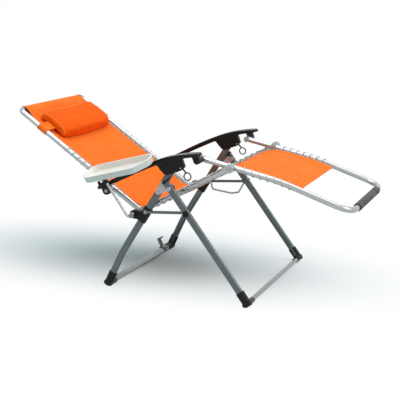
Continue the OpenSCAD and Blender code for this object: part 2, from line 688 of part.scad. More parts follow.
// Arms: crowned pad, deep cheeks round the lock block, pivot bosses
function arm_top(p) = p < 275 ? 27 + (arm_rise - 27) * pow(sin(90 * (p + 40) / 315), 1.4)
  : arm_rise - 27 * (1 - cos(90 * (p - 275) / 165));
function arm_low(p) = arm_top(p) - 11 - 8 * pow(max(0, sin(180 * (p + 40) / 480)), 0.7);
module arm_plan(w, l) {
  translate([-arm_over, -w / 2]) translate([w / 2, 0]) square([l - w, w]);
  for (p = [-arm_over + w / 2, l - arm_over - w / 2]) translate([p, 0]) circle(w / 2);
}
module arm_body() {
  c0 = rear_half - leg_t / 2 - gap;
  c1 = rear_half + leg_t / 2 + gap;
  pf = norm(arm_front - arm_rear);
  difference() {
    union() {
      intersection() {
        translate([0, -arm_mid, 0]) rotate([90, 0, 0]) linear_extrude(arm_w, center = true)
          polygon(concat([for (p = [-40 : 16 : 440]) [p, arm_top(p)]],
            [for (p = [440 : -16 : -40]) [p, arm_low(p)]]));
        translate([0, -arm_mid, -60]) linear_extrude(200) arm_plan(arm_w, arm_l);
      }
      for (y = [[arm_in, c0], [c1, c1 + 3.6]]) translate([0, -y[0], 0]) rotate([90, 0, 0])
        linear_extrude(y[1] - y[0]) polygon([[244, arm_low(244) + 4], [262, -8], [276, -16], [334, -16],
          [348, -8], [352, arm_low(352) + 4]]);
      translate([346, -c1 - 2, -6]) cube([6, c1 - c0 + 4, arm_low(350) + 10]);
      translate([0, -arm_in, 0]) rotate([90, 0, 0]) linear_extrude(24) {
        circle(16);
        translate([-16, 0]) square([32, arm_low(0) + 6]);
      }
      translate([pf, -arm_in, 0]) rotate([90, 0, 0]) linear_extrude(20) {
        circle(13);
        translate([-13, 0]) square([26, arm_low(pf) + 4]);
      }
      translate([pf, 2 - arm_in, 0]) rotate([-90, 0, 0])
        cylinder(r1 = 13, r2 = 11, h = arm_in - back_half - tr - 3.3);
      translate([pf, -arm_in - 1, 0]) rotate([-90, 0, 0]) cylinder(r = 12.6, h = 4);
    }
    rotate([90, 0, 0]) cylinder(r = bush_r - 1 + fit, h = arm_in + 25.5);
    translate([0, -arm_in - 8, 0]) rotate([90, 0, 0]) cylinder(r = bush_r - 1 + fit, h = 18);
    translate([338, 0, -6]) rotate([90, 0, 0]) cylinder(r = 3.3, h = 2 * arm_in);
  }
}
module arm_bushes() {
  color("#d8d8d4") both() at(arm_rear, arm_a) translate([0, -arm_in - 0.4, 0]) rotate([90, 0, 0])
    difference() {
      cylinder(r = bush_r - 1, h = 23.2);
      translate([0, 0, -1]) cylinder(r = 4 + fit, h = 30);
    }
}
module arm_right() {
  color("#1c1c1c") at(arm_rear, arm_a) arm_body();
}
module arm_left() {
  color("#1c1c1c") mirror([0, 1, 0]) at(arm_rear, arm_a) arm_body();
}
// Lock levers: a ring to pull, on a pin between the cheeks
module lever_pins() {
  y1 = rear_half + leg_t / 2 + gap;
  color("#8c8c8c") both() at(arm_rear, arm_a) translate([338, 0, -6]) rotate([90, 0, 0])
    translate([0, 0, arm_in + 0.2]) cylinder(r = 3, h = y1 + 3.4 - arm_in);
}
module lever() {
  color("#262626") at(arm_rear, arm_a) translate([338, -rear_half, -6]) rotate([90, 0, 0]) difference() {
    union() {
      cylinder(r = 6.4, h = leg_t - 2, center = true);
      translate([10, -24 - ring_r, 0]) rotate_extrude() translate([ring_r, 0]) circle(ring_d / 2);
      rotate([0, 0, -90 + 22.6]) translate([0, -ring_d / 2, -ring_d / 2]) cube([25, ring_d, ring_d]);
    }
    cylinder(r = 3 + fit, h = leg_t, center = true);
  }
}
module lever_right() {
  lever();
}
module lever_left() {
  mirror([0, 1, 0]) lever();
}

// Side tray on a bent arm from the right hip socket
tray_pivot = [-290, 462];
tray_a = 15;
tray_c = [-184, 518];
tray_y = -418;
tray_x = (tray_c - tray_pivot) * dir(tray_a);
tray_z = (tray_c - tray_pivot) * left(tray_a) - tray_h;
rod_a = atan2(tray_pivot[1] - hip[1], tray_pivot[0] - hip[0]);
rod_y = -rear_half - leg_t / 2 - sleeve_wall - 48;
module tray_arm() {
  y1 = -rear_half - leg_t / 2 - sleeve_wall - 4;
  l = norm(tray_pivot - hip);
  color("#b4b6b8") {
    at(hip, rod_a) path([[0, y1], [0, rod_y], [l - 12, rod_y]], 14, tray_rod_d, tray_rod_d);
    difference() {
      at(tray_pivot, rod_a, rod_y) translate([-14, 0, 0]) rotate([90, 0, 0])
        translate([0, 0, -5]) linear_extrude(10) union() {
          translate([14, 0]) circle(9);
          translate([0, -9]) square([14, 18]);
        }
      pin(tray_pivot, rod_y + 20, rod_y - 20, 4 + fit);
    }
  }
}
wing_p = tray_pivot - 31 * dir(rod_a);
module tray_collar() {
  color("#202020") at(wing_p, rod_a, rod_y) difference() {
    union() {
      translate([-10, 0, 0]) rotate([0, 90, 0]) cylinder(r = tray_rod_d / 2 + 4.5, h = 20);
      cylinder(r = 6, h = 20);
    }
    translate([-20, 0, 0]) rotate([0, 90, 0]) cylinder(r = tray_rod_d / 2 + 0.3, h = 40);
    cylinder(r = 3 + fit, h = 30);
  }
}
module wing_screw() {
  color("#202020") at(wing_p, rod_a, rod_y) {
    translate([0, 0, tray_rod_d / 2 + 0.8]) cylinder(r = 3, h = 26 - tray_rod_d / 2);
    translate([0, 0, 20.5]) cylinder(r = 6, h = 12);
    for (s = [-1, 1]) translate([s * 9, 0, 28]) rotate([0, s * 18, 0]) translate([-7, -2.5, -5])
      cube([14, 5, 11]);
  }
}
// Bracket under the tray, forked round the head of the arm
module tray_bracket() {
  w = tray_y - rod_y;
  color("#8c8c8c") at(tray_pivot, tray_a, rod_y) difference() {
    union() {
      for (s = [-1, 1]) translate([-11, s * 7.8 - 2, -11])
        cube([22, 4, 11 + tray_z - 1.6 + (s * 7.8 - w) * tan(tray_roll)]);
      translate([0, w, tray_z]) rotate([tray_roll, 0, 0]) translate([-14, 6, -3])
        cube([tray_l / 5, 8 - w / cos(tray_roll), 2.6]);
      for (s = [-1, 1]) translate([0, s * 9.8, 0]) rotate([s * -90, 0, 0]) cylinder(r = 7, h = 3);
      rotate([90, 0, 0]) cylinder(r = 4, h = 18, center = true);
    }
    translate([-40, -5.5, -40]) difference() {
      cube([80, 11, 52]);
      translate([40, 20, 40]) rotate([90, 0, 0]) cylinder(r = 4, h = 40);
    }
  }
}
module tray_plan(d) {
  l = tray_l / 2 - 34;
  w = tray_w / 2 - 34;
  offset(r = 34 - d, $fn = 64) polygon([[-l, -w], [l - 30, -w], [l, -w + 30], [l, w], [-l, w]]);
}
// Shallow tray with one corner cut and a turned-out rim
module tray() {
  color("#ecebe4") at(tray_pivot, tray_a, tray_y) translate([tray_x, 0, tray_z]) rotate([tray_roll, 0, 0])
    difference() {
      union() {
        linear_extrude(tray_h) tray_plan(3);
        translate([0, 0, tray_h - 3]) linear_extrude(3) tray_plan(0);
      }
      translate([0, 0, tray_wall]) linear_extrude(tray_h) tray_plan(3 + tray_wall);
    }
}

rear_leg_tubes();
rear_foot_bar();
rear_foot_caps();
leg_hinge_plates();
leg_hinge_bolts();
lock_blocks();
fold_clip();
front_leg_tubes();
front_foot_bar();
front_foot_caps();
front_leg_ends();
strut_knobs();
leg_sleeves();
hip_pins();
struts();
bail_wire();
seat_bushes();
seat_rails();
knee_blocks();
knee_pins();
seat_sling();
seat_lacing();
seat_eyelets();
knee_bushes();
leg_rest_tube();
foot_grip();
leg_sling();
leg_lacing();
leg_eyelets();
arm_front_pins();
back_bushes();
back_tube();
back_sling();
back_lacing();
back_eyelets();
head_stops();
arm_rear_pins();
head_roll();
roll_straps();
arm_bushes();
arm_right();
arm_left();
lever_pins();
lever_right();
lever_left();
tray_arm();
tray_collar();
wing_screw();
tray_bracket();
tray();
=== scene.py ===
import json
import math

import bmesh
import bpy
import numpy as np
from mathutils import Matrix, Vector
from mathutils.bvhtree import BVHTree


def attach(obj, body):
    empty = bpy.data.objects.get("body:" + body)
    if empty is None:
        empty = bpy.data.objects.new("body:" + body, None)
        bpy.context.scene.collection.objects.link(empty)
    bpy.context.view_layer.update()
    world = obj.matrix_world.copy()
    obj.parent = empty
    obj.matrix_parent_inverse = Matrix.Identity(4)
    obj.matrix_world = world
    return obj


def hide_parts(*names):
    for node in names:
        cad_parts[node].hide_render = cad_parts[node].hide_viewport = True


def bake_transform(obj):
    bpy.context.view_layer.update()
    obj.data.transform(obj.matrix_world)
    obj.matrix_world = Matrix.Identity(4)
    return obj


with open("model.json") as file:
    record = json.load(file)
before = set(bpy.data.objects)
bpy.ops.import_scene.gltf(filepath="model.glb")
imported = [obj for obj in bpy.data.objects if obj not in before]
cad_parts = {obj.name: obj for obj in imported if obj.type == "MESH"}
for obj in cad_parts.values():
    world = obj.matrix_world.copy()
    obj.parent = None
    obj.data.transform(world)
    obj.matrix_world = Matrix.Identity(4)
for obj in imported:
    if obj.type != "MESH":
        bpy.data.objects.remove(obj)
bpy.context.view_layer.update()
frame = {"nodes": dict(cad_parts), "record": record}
nodes = frame["nodes"]
scene = bpy.context.scene
scene.view_settings.view_transform = "Standard"


# ---------------------------------------------------------------- camera
PHOTO_PX = 400.0  # width of the photo
FOCAL_PX = 555.5  # focal length of the fitted camera, in the photo's pixels
ENLARGE = 1.65  # the render is framed closer than the photo
SENSOR = 36.0
EYE = (1.396, -3.351, 1.169)
YAW, PITCH_DOWN = math.radians(-23.09), math.radians(13.28)


def make_camera():
    cam = bpy.data.cameras.new("camera")
    obj = bpy.data.objects.new("camera", cam)
    scene.collection.objects.link(obj)
    cam.sensor_width = SENSOR
    cam.lens = SENSOR * FOCAL_PX * ENLARGE / PHOTO_PX
    cam.clip_start, cam.clip_end = 0.1, 100.0
    level = math.cos(PITCH_DOWN)
    look = Vector((math.sin(YAW) * level, math.cos(YAW) * level, -math.sin(PITCH_DOWN)))
    obj.location = EYE
    obj.rotation_mode = "QUATERNION"
    obj.rotation_quaternion = look.to_track_quat("-Z", "Y")
    scene.camera = obj


make_camera()


# ---------------------------------------------------------------- materials
class Nodes:
    """A material under construction."""

    def __init__(self, name, base=(0.5, 0.5, 0.5), rough=0.5, metallic=0.0):
        self.mat = bpy.data.materials.new(name)
        self.mat.use_nodes = True
        self.tree = self.mat.node_tree
        self.bsdf = self.tree.nodes["Principled BSDF"]
        self.set("Base Color", (*base, 1.0))
        self.set("Roughness", rough)
        self.set("Metallic", metallic)
        self.mat.diffuse_color = (*base, 1.0)

    def set(self, socket, value):
        self.bsdf.inputs[socket].default_value = value

    def new(self, kind, **values):
        n = self.tree.nodes.new(kind)
        for k, v in values.items():
            setattr(n, k, v)
        return n

    def link(self, a, b):
        self.tree.links.new(a, b)

    def to(self, out, socket):
        self.link(out, self.bsdf.inputs[socket])

    def coords(self, kind="Object"):
        return self.new("ShaderNodeTexCoord").outputs[kind]

    def scaled(self, vec, scale):
        n = self.new("ShaderNodeMapping")
        n.inputs["Scale"].default_value = scale
        self.link(vec, n.inputs["Vector"])
        return n.outputs[0]

    def noise(self, vec, scale, detail=3.0, rough=0.55, distort=0.0):
        n = self.new("ShaderNodeTexNoise")
        n.inputs["Scale"].default_value = scale
        n.inputs["Detail"].default_value = detail
        n.inputs["Roughness"].default_value = rough
        n.inputs["Distortion"].default_value = distort
        self.link(vec, n.inputs["Vector"])
        return n.outputs["Fac"]

    def math(self, op, a, b=0.0, clamp=False):
        n = self.new("ShaderNodeMath", operation=op, use_clamp=clamp)
        for i, v in enumerate((a, b)):
            if isinstance(v, (int, float)):
                n.inputs[i].default_value = v
            else:
                self.link(v, n.inputs[i])
        return n.outputs[0]

    def range(self, v, a, b, c, d):
        n = self.new("ShaderNodeMapRange", interpolation_type="SMOOTHSTEP")
        for i, x in enumerate((a, b, c, d)):
            n.inputs[i + 1].default_value = x
        self.link(v, n.inputs[0])
        return n.outputs[0]

    def mix(self, fac, a, b):
        n = self.new("ShaderNodeMix", data_type="RGBA")
        self.link(fac, n.inputs["Factor"])
        for i, v in ((6, a), (7, b)):
            if isinstance(v, tuple):
                n.inputs[i].default_value = (*v, 1.0)
            else:
                self.link(v, n.inputs[i])
        return n.outputs[2]

    def bump(self, height, strength, distance):
        n = self.new("ShaderNodeBump")
        n.inputs["Strength"].default_value = strength
        n.inputs["Distance"].default_value = distance
        self.link(height, n.inputs["Height"])
        self.link(n.outputs[0], self.bsdf.inputs["Normal"])

    def edge(self, lo=0.52, hi=0.58):
        g = self.new("ShaderNodeNewGeometry")
        return self.range(g.outputs["Pointiness"], lo, hi, 0.0, 1.0)


def metal(name, base, dark, rough, metallic, flake=2600.0):
    """Lacquered tube: fine flake, faint handling marks and rubbed spots."""
    m = Nodes(name, base, rough, metallic)
    o = m.coords()
    fine = m.noise(o, flake, 2.0, 0.6)
    broad = m.noise(o, 9.0, 4.0, 0.6)
    marks = m.range(m.noise(m.scaled(o, (1.0, 1.0, 5.0)), 60.0, 4.0, 0.7), 0.58, 0.72, 0.0, 1.0)
    c = m.mix(m.range(fine, 0.3, 0.7, 0.0, 0.5), base, dark)
    c = m.mix(m.range(broad, 0.35, 0.75, 0.0, 0.3), c, dark)
    m.to(c, "Base Color")
    r = m.math("ADD", m.range(broad, 0.3, 0.7, rough - 0.05, rough + 0.06), m.math("MULTIPLY", marks, 0.12))
    m.to(r, "Roughness")
    m.bump(m.math("ADD", m.math("MULTIPLY", fine, 0.4), m.math("MULTIPLY", broad, 0.5)), 0.12, 0.0004)
    return m.mat


def plastic(name, base, worn, rough, grain=1500.0, strength=0.16, edge=0.5):
    """Moulded plastic: spark-eroded grain, paler rubbed edges, a little dust in patches."""
    m = Nodes(name, base, rough)
    o = m.coords()
    g = m.noise(o, grain, 3.0, 0.65)
    broad = m.noise(o, 14.0, 4.0, 0.6)
    scuff = m.range(m.noise(m.scaled(o, (1.0, 3.0, 1.0)), 85.0, 5.0, 0.75), 0.6, 0.75, 0.0, 1.0)
    rub = m.math("MULTIPLY", m.edge(), edge)
    c = m.mix(m.range(broad, 0.45, 0.8, 0.0, 0.35), base, worn)
    c = m.mix(m.math("MAXIMUM", rub, m.math("MULTIPLY", scuff, 0.3), True), c, worn)
    m.to(c, "Base Color")
    r = m.math("ADD", m.range(broad, 0.3, 0.7, rough - 0.05, rough + 0.07), m.math("MULTIPLY", scuff, 0.1))
    m.to(r, "Roughness")
    m.bump(g, strength, 0.0004)
    m.set("Specular IOR Level", 0.22)
    return m.mat


def woven(name, base, painted_shade_and_tone, pitch=0.0017, coords="UV"):
    """Open plain weave of coated yarn: over and under, with painted shade between the yarns, slubs and sun-faded
    areas.
    """
    m = Nodes(name, base, 0.62)
    v = m.coords(coords)
    s = m.scaled(v, (1.0 / pitch, 1.0 / pitch, 1.0 / pitch))
    sep = m.new("ShaderNodeSeparateXYZ")
    m.link(s, sep.inputs[0])
    x, y = sep.outputs[0], sep.outputs[1]
    rx = m.math("ABSOLUTE", m.math("SINE", m.math("MULTIPLY", x, math.pi)))
    ry = m.math("ABSOLUTE", m.math("SINE", m.math("MULTIPLY", y, math.pi)))
    over = m.math("ABSOLUTE", m.math("MODULO", m.math("ADD", m.math("FLOOR", x), m.math("FLOOR", y)), 2.0))
    warp = m.math("MULTIPLY", rx, m.math("ADD", m.math("MULTIPLY", ry, 0.45), 0.55))
    weft = m.math("MULTIPLY", ry, m.math("ADD", m.math("MULTIPLY", rx, 0.45), 0.55))
    h = m.math("ADD", m.math("MULTIPLY", warp, over), m.math("MULTIPLY", weft, m.math("SUBTRACT", 1.0, over)))
    slub = m.noise(m.scaled(v, (420.0, 11.0, 40.0)), 1.0, 3.0, 0.6)
    cross = m.noise(m.scaled(v, (11.0, 420.0, 40.0)), 1.0, 3.0, 0.6)
    fade = m.noise(v, 6.0, 4.0, 0.6)
    # painted shade: the cloth's shaded colour where the yarns dip between each other; the slubs below darken it at
    # random
    c = m.mix(m.range(h, 0.05, 0.75, 0.8, 0.0), base, painted_shade_and_tone)
    yarn = m.math("ADD", m.math("MULTIPLY", slub, 0.5), m.math("MULTIPLY", cross, 0.5))
    c = m.mix(m.range(yarn, 0.4, 0.65, 0.0, 0.45), c, painted_shade_and_tone)
    pale = tuple(min(1.0, b * 1.05 + 0.012) for b in base)
    c = m.mix(m.range(fade, 0.45, 0.75, 0.0, 0.5), c, pale)
    m.to(c, "Base Color")
    m.to(m.range(h, 0.0, 1.0, 0.78, 0.52), "Roughness")
    m.bump(m.math("ADD", h, m.math("MULTIPLY", yarn, 0.6)), 0.45, 0.0006)
    m.set("Specular IOR Level", 0.08)
    return m.mat


BRAID_STRANDS, BRAID_PITCH = 4, 0.0034


def braid(name, base, painted_shade_and_tone):
    """Braided elastic: slanted plaits round the cord, with painted shade in the grooves between them, from its own
    length and girth coordinates.
    """
    m = Nodes(name, base, 0.7)
    v = m.coords("UV")
    sep = m.new("ShaderNodeSeparateXYZ")
    m.link(v, sep.inputs[0])
    a = m.math("MULTIPLY", sep.outputs[0], 2 * math.pi * BRAID_STRANDS)
    b = m.math("MULTIPLY", sep.outputs[1], 2 * math.pi / BRAID_PITCH)
    p = m.math("MULTIPLY", m.math("SINE", m.math("ADD", a, b)), m.math("SINE", m.math("SUBTRACT", a, b)))
    h = m.math("ADD", m.math("MULTIPLY", p, 0.5), 0.5)
    fuzz = m.noise(m.coords("Object"), 900.0, 3.0, 0.7)
    # painted shade in the grooves between the plaits; the fuzz below darkens it at random
    c = m.mix(m.range(h, 0.1, 0.8, 0.75, 0.0), base, painted_shade_and_tone)
    c = m.mix(m.range(fuzz, 0.4, 0.7, 0.0, 0.3), c, painted_shade_and_tone)
    m.to(c, "Base Color")
    m.bump(m.math("ADD", h, m.math("MULTIPLY", fuzz, 0.4)), 0.5, 0.0004)
    m.set("Sheen Weight", 0.2)
    return m.mat


def foam(name, base, pale):
    """Closed-cell foam: fine pores and paler rubbed areas."""
    m = Nodes(name, base, 0.8)
    o = m.coords()
    pores = m.new("ShaderNodeTexVoronoi")
    pores.inputs["Scale"].default_value = 900.0
    m.link(o, pores.inputs["Vector"])
    broad = m.noise(o, 30.0, 4.0, 0.6)
    c = m.mix(m.range(broad, 0.35, 0.7, 0.0, 0.6), base, pale)
    m.to(c, "Base Color")
    m.to(m.range(broad, 0.3, 0.7, 0.7, 0.88), "Roughness")
    m.bump(pores.outputs["Distance"], 0.35, 0.0006)
    return m.mat


# the cloth's colour, and its colour in shade, which is painted between the yarns
ORANGE, ORANGE_PAINTED_SHADE = (0.96, 0.212, 0.022), (0.84, 0.12, 0.010)
M = {
    "satin_leg": metal("satin_leg", (0.125, 0.152, 0.156), (0.088, 0.108, 0.112), 0.27, 0.6),
    "bright_tube": metal("bright_tube", (0.46, 0.48, 0.485), (0.36, 0.38, 0.385), 0.20, 0.8),
    "steel": metal("steel", (0.42, 0.42, 0.42), (0.30, 0.30, 0.305), 0.34, 1.0, 1400.0),
    "black_plastic": plastic("black_plastic", (0.0022, 0.0028, 0.0028), (0.012, 0.014, 0.014), 0.33),
    "bush_plastic": plastic("bush_plastic", (0.68, 0.68, 0.65), (0.56, 0.55, 0.52), 0.45, 1800.0, 0.1, 0.2),
    "tray_plastic": plastic("tray_plastic", (0.80, 0.79, 0.735), (0.70, 0.68, 0.61), 0.42, 1300.0, 0.12, 0.25),
    "sling_cloth": woven("sling_cloth", ORANGE, ORANGE_PAINTED_SHADE),
    "elastic_cord": braid("elastic_cord", (0.70, 0.69, 0.66), (0.46, 0.45, 0.42)),
    "grip_foam": foam("grip_foam", (0.055, 0.057, 0.06), (0.095, 0.097, 0.10)),
}
# the roll's cloth, with its colour in shade painted between the yarns
ROLL_CLOTH = woven("roll_cloth", (0.94, 0.142, 0.003), (0.80, 0.07, 0.001), 0.0015, "Object")
# a lighter copy of the leg paint: painted light for the foot bars' lit upper faces
BAR_PAINTED_LIGHT = metal("satin_bar_painted_light", (0.36, 0.39, 0.395), (0.27, 0.295, 0.30), 0.26, 0.6)
THREAD = braid("thread", (1.0, 0.25, 0.01), (0.80, 0.11, 0.003))


def paint(obj, mat):
    obj.data.materials.clear()
    obj.data.materials.append(mat)


# ---------------------------------------------------------------- mesh helpers
def smooth(obj):
    obj.data.polygons.foreach_set("use_smooth", np.ones(len(obj.data.polygons), bool))


def mesh_object(name, verts, faces, uvs=None):
    me = bpy.data.meshes.new(name)
    me.from_pydata([tuple(map(float, v)) for v in verts], [], faces)
    if uvs is not None:
        layer = me.uv_layers.new(name="UVMap")
        idx = np.zeros(len(me.loops), np.int32)
        me.loops.foreach_get("vertex_index", idx)
        layer.data.foreach_set("uv", np.asarray(uvs, np.float32)[idx].ravel())
    me.update()
    obj = bpy.data.objects.new(name, me)
    smooth(obj)
    scene.collection.objects.link(obj)
    return obj


def sharpen(obj, degrees):
    smooth(obj)
    obj.data.set_sharp_from_angle(angle=math.radians(degrees))


def tube(line, radius, sides=10):
    """A round cord along a line of points, with length and girth as its texture coordinates."""
    line = np.asarray(line, float)
    n = len(line)
    t = np.gradient(line, axis=0)
    t /= np.linalg.norm(t, axis=1)[:, None]
    u = np.cross(t[0], (0.123, 0.34, 0.93))
    u /= np.linalg.norm(u)
    verts, uvs, along = [], [], 0.0
    for i in range(n):
        u = u - t[i] * (u @ t[i])
        u /= np.linalg.norm(u)
        v = np.cross(t[i], u)
        along += np.linalg.norm(line[i] - line[i - 1]) if i else 0.0
        for j in range(sides):
            a = 2 * math.pi * j / sides
            verts.append(line[i] + radius * (math.cos(a) * u + math.sin(a) * v))
            uvs.append((j / sides, along))
    faces = [
        (i * sides + j, i * sides + (j + 1) % sides, (i + 1) * sides + (j + 1) % sides, (i + 1) * sides + j)
        for i in range(n - 1)
        for j in range(sides)
    ]
    faces += [tuple(range(sides))[::-1], tuple((n - 1) * sides + j for j in range(sides))]
    return verts, faces, uvs


def join(parts):
    """Meshes as (points, faces, texture coordinates), put together as one."""
    verts, faces, uvs = [], [], []
    for v, f, u in parts:
        k = len(verts)
        verts += list(v)
        uvs += list(u)
        faces += [tuple(k + i for i in q) for q in f]
    return verts, faces, uvs


def copy_node(name):
    obj = bpy.data.objects.new("soft_" + name, nodes[name].data.copy())
    obj.data.materials.clear()
    scene.collection.objects.link(obj)
    return obj


def apply(obj):
    """Replaces the mesh by what its modifiers make of it."""
    dg = bpy.context.evaluated_depsgraph_get()
    dg.update()
    me = bpy.data.meshes.new_from_object(obj.evaluated_get(dg))
    obj.modifiers.clear()
    old, obj.data = obj.data, me
    bpy.data.meshes.remove(old)


def clean(obj):
    """Joins the CAD triangles of each flat face, so that the bevel finds the real edges."""
    bm = bmesh.new()
    bm.from_mesh(obj.data)
    bmesh.ops.remove_doubles(bm, verts=bm.verts, dist=2e-6)
    bmesh.ops.dissolve_limit(bm, angle_limit=math.radians(1.0), verts=bm.verts, edges=bm.edges)
    bm.to_mesh(obj.data)
    bm.free()


def rounded(name, body, width, slot):
    """The CAD piece with its moulded or rolled edges."""
    obj = copy_node(name)
    clean(obj)
    mod = obj.modifiers.new("edge", "BEVEL")
    mod.width, mod.segments, mod.limit_method = width, 2, "ANGLE"
    mod.angle_limit = math.radians(38.0)
    mod.use_clamp_overlap = True
    apply(obj)
    sharpen(obj, 40.0)
    paint(obj, M[slot])
    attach(obj, body)
    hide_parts(name)
    return obj


def moulded(name, body, voxel, passes, slot):
    """The CAD piece as one soft moulding."""
    obj = copy_node(name)
    mod = obj.modifiers.new("remesh", "REMESH")
    mod.mode, mod.voxel_size = "VOXEL", voxel
    mod = obj.modifiers.new("ease", "SMOOTH")
    mod.factor, mod.iterations = 0.5, passes
    apply(obj)
    smooth(obj)
    paint(obj, M[slot])
    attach(obj, body)
    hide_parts(name)
    return obj


# ---------------------------------------------------------------- CAD pieces
record = frame["record"]
slot_of = {s["node"]: s["material_slot"] for s in record["subparts"]}
body_of = {n: b for b, ns in record["behaviour"]["bodies"].items() for n in ns}
for n, o in nodes.items():
    o.data.materials.clear()
    o.data.materials.append(M[slot_of[n]])
    sharpen(o, 32.0)

# painted light: the foot bars take the lighter copy of the leg paint
for n in ("rear_foot_bar", "front_foot_bar"):
    paint(nodes[n], BAR_PAINTED_LIGHT)

EDGES = {  # bevel width of each moulded or stamped piece
    "rear_foot_caps": 0.0016, "front_foot_caps": 0.0016, "leg_sleeves": 0.0016, "front_leg_ends": 0.002,
    "strut_knobs": 0.0018, "lock_blocks": 0.0015, "tray": 0.0011, "tray_bracket": 0.0008, "wing_screw": 0.0012,
    "foot_grip": 0.0016, "knee_blocks": 0.0012, "head_stops": 0.0009, "struts": 0.0007, "leg_hinge_plates": 0.0007,
    "leg_hinge_bolts": 0.001, "fold_clip": 0.0012, "tray_collar": 0.0009, "hip_pins": 0.0007, "knee_pins": 0.0007,
}
for n, w in EDGES.items():
    rounded(n, body_of[n], w, slot_of[n])
for n in ("arm_right", "arm_left"):
    moulded(n, "arms", 0.0021, 5, "black_plastic")
for n in ("lever_right", "lever_left"):
    moulded(n, body_of[n], 0.0009, 2, "black_plastic")


# ---------------------------------------------------------------- sling
def d2(a):
    a = math.radians(a)
    return np.array((math.cos(a), math.sin(a)))


def left2(a):
    a = math.radians(a)
    return np.array((-math.sin(a), math.cos(a)))


# side view, in metres and degrees: hinges, directions of the tubes, bend of the leg rest
HIP, KNEE = np.array((-0.180, 0.305)), np.array((0.199, 0.507))
BACK_A, LEG_A1, LEG_A2 = 145.7, -11.5, -18.5
LEG_B1, LEG_B2 = 0.186, 0.099  # leg rest up to its bend, and the easing past it
LEG_TURN = 3.5  # half the leg rest's bend
SEAT_A = math.degrees(math.atan2(*(KNEE - HIP)[::-1]))
SEAT_L = float(np.linalg.norm(KNEE - HIP))
# half widths of the eyelets, the back and leg tubes and the seat rails, and the tubes' radius
HALF, BACK_HALF, SEAT_HALF, TR = 0.214, 0.242, 0.266, 0.011
# the cloth's bends at hip and knee
HIP_D = 0.044
HIP_R = HIP_D * math.tan(math.radians((BACK_A - SEAT_A) / 2))
HIP_C = HIP + HIP_D * d2(BACK_A) + HIP_R * left2(BACK_A - 180)
KNEE_R = 0.140
KNEE_T = KNEE_R * math.tan(math.radians((SEAT_A - LEG_A1) / 2))
KNEE_C = KNEE - KNEE_T * d2(SEAT_A) - KNEE_R * left2(SEAT_A)
BACK_LEN, BACK_S0, BACK_S1 = 0.650, 0.046, 0.638
LEG_END = 0.2721
# lacing: pitch, first eyelet and number of turns on each frame
PITCH = 0.029
BACK_L0, BACK_N, SEAT_L0, SEAT_N, LEG_L0, LEG_N = 0.0866, 11, 0.074, 10, 0.040, 7
# cloth: half width between eyelets and at the head bar, pull at an eyelet, row spacing, layer on the bar
CLOTH_HALF, HEAD_WIDER, EYELET_PULL, ROW = 0.2165, 0.001, 0.0098, 0.006
PULLED_HALF = 0.2262  # half width at which the hem no longer curls
BAR_R = TR + 0.0018
SEAT_SAG = 0.0127
SEAT_SPLIT = 0.22  # where the seat's two strips meet


def back_sag(s):
    """Depth of the back's middle line under the tubes."""
    u = min(1.0, max(0.0, (s - BACK_S0) / (BACK_S1 - BACK_S0)))
    return -0.015 * (0.35 + 0.65 * math.sin(math.pi * u))


def leg_point(s):
    """Place on the leg rest at s from the knee, and the cloth's direction there."""
    if s < LEG_B1:
        return KNEE + s * d2(LEG_A1), LEG_A1 - LEG_TURN * s / LEG_B1
    past = s - LEG_B1
    return KNEE + LEG_B1 * d2(LEG_A1) + past * d2(LEG_A2), LEG_A2 + LEG_TURN * max(0.0, 1 - past / LEG_B2)


class Rows:
    """Rows of the sling from head to foot: place, normal, sag, half width and length so far."""

    def __init__(self):
        self.p, self.n, self.sag, self.half, self.s = [], [], [], [], []

    def add(self, p, n, sag, half):
        self.s.append(self.s[-1] + float(np.linalg.norm(p - self.p[-1])) if self.p else 0.0)
        self.p.append(np.asarray(p, float))
        self.n.append(np.asarray(n, float) / np.linalg.norm(n))
        self.sag.append(sag)
        self.half.append(half)


def scallop(s, first, count):
    """Half width of the cloth: drawn out at each eyelet, in between them eased."""
    i = min(max(round((s - first) / PITCH), 0), count)
    return CLOTH_HALF + EYELET_PULL * math.exp(-(((s - first - PITCH * i) / 0.0085) ** 2))


R = Rows()
up, out = d2(BACK_A), -left2(BACK_A)
bar = HIP + BACK_LEN * up
# underside flap, round the head bar, then down the back
for s in np.linspace(0.588, 0.634, 6):
    f = (s - 0.588) / 0.046
    R.add(HIP + s * up + (-0.0085 - 0.003 * f) * out, -out, -back_sag(s) * (1 - f), CLOTH_HALF + HEAD_WIDER * f)
for a in np.linspace(-90, 90, 15):
    n = math.cos(math.radians(a)) * up + math.sin(math.radians(a)) * out
    R.add(bar + BAR_R * n, n, 0.0, CLOTH_HALF + HEAD_WIDER)
for s in np.linspace(0.640, 0.590, 8):
    f = (s - 0.59) / 0.05
    f = f * f * (3 - 2 * f)
    R.add(HIP + s * up + (BAR_R * f) * out, out, back_sag(s) * (1 - f), CLOTH_HALF + HEAD_WIDER * f)
for s in np.arange(0.584, HIP_D + 0.0001, -ROW):
    R.add(HIP + s * up, out, back_sag(s), scallop(s, BACK_L0, BACK_N))
# round the hip
HIP_STEPS = 26
for i in range(HIP_STEPS + 1):
    f = i / HIP_STEPS
    n = left2(BACK_A - 180 + (SEAT_A - BACK_A + 180) * i / HIP_STEPS)
    R.add(HIP_C - HIP_R * n, n, -0.0052 - 0.0075 * f, CLOTH_HALF)
HIP_ROW = len(R.p) - 14
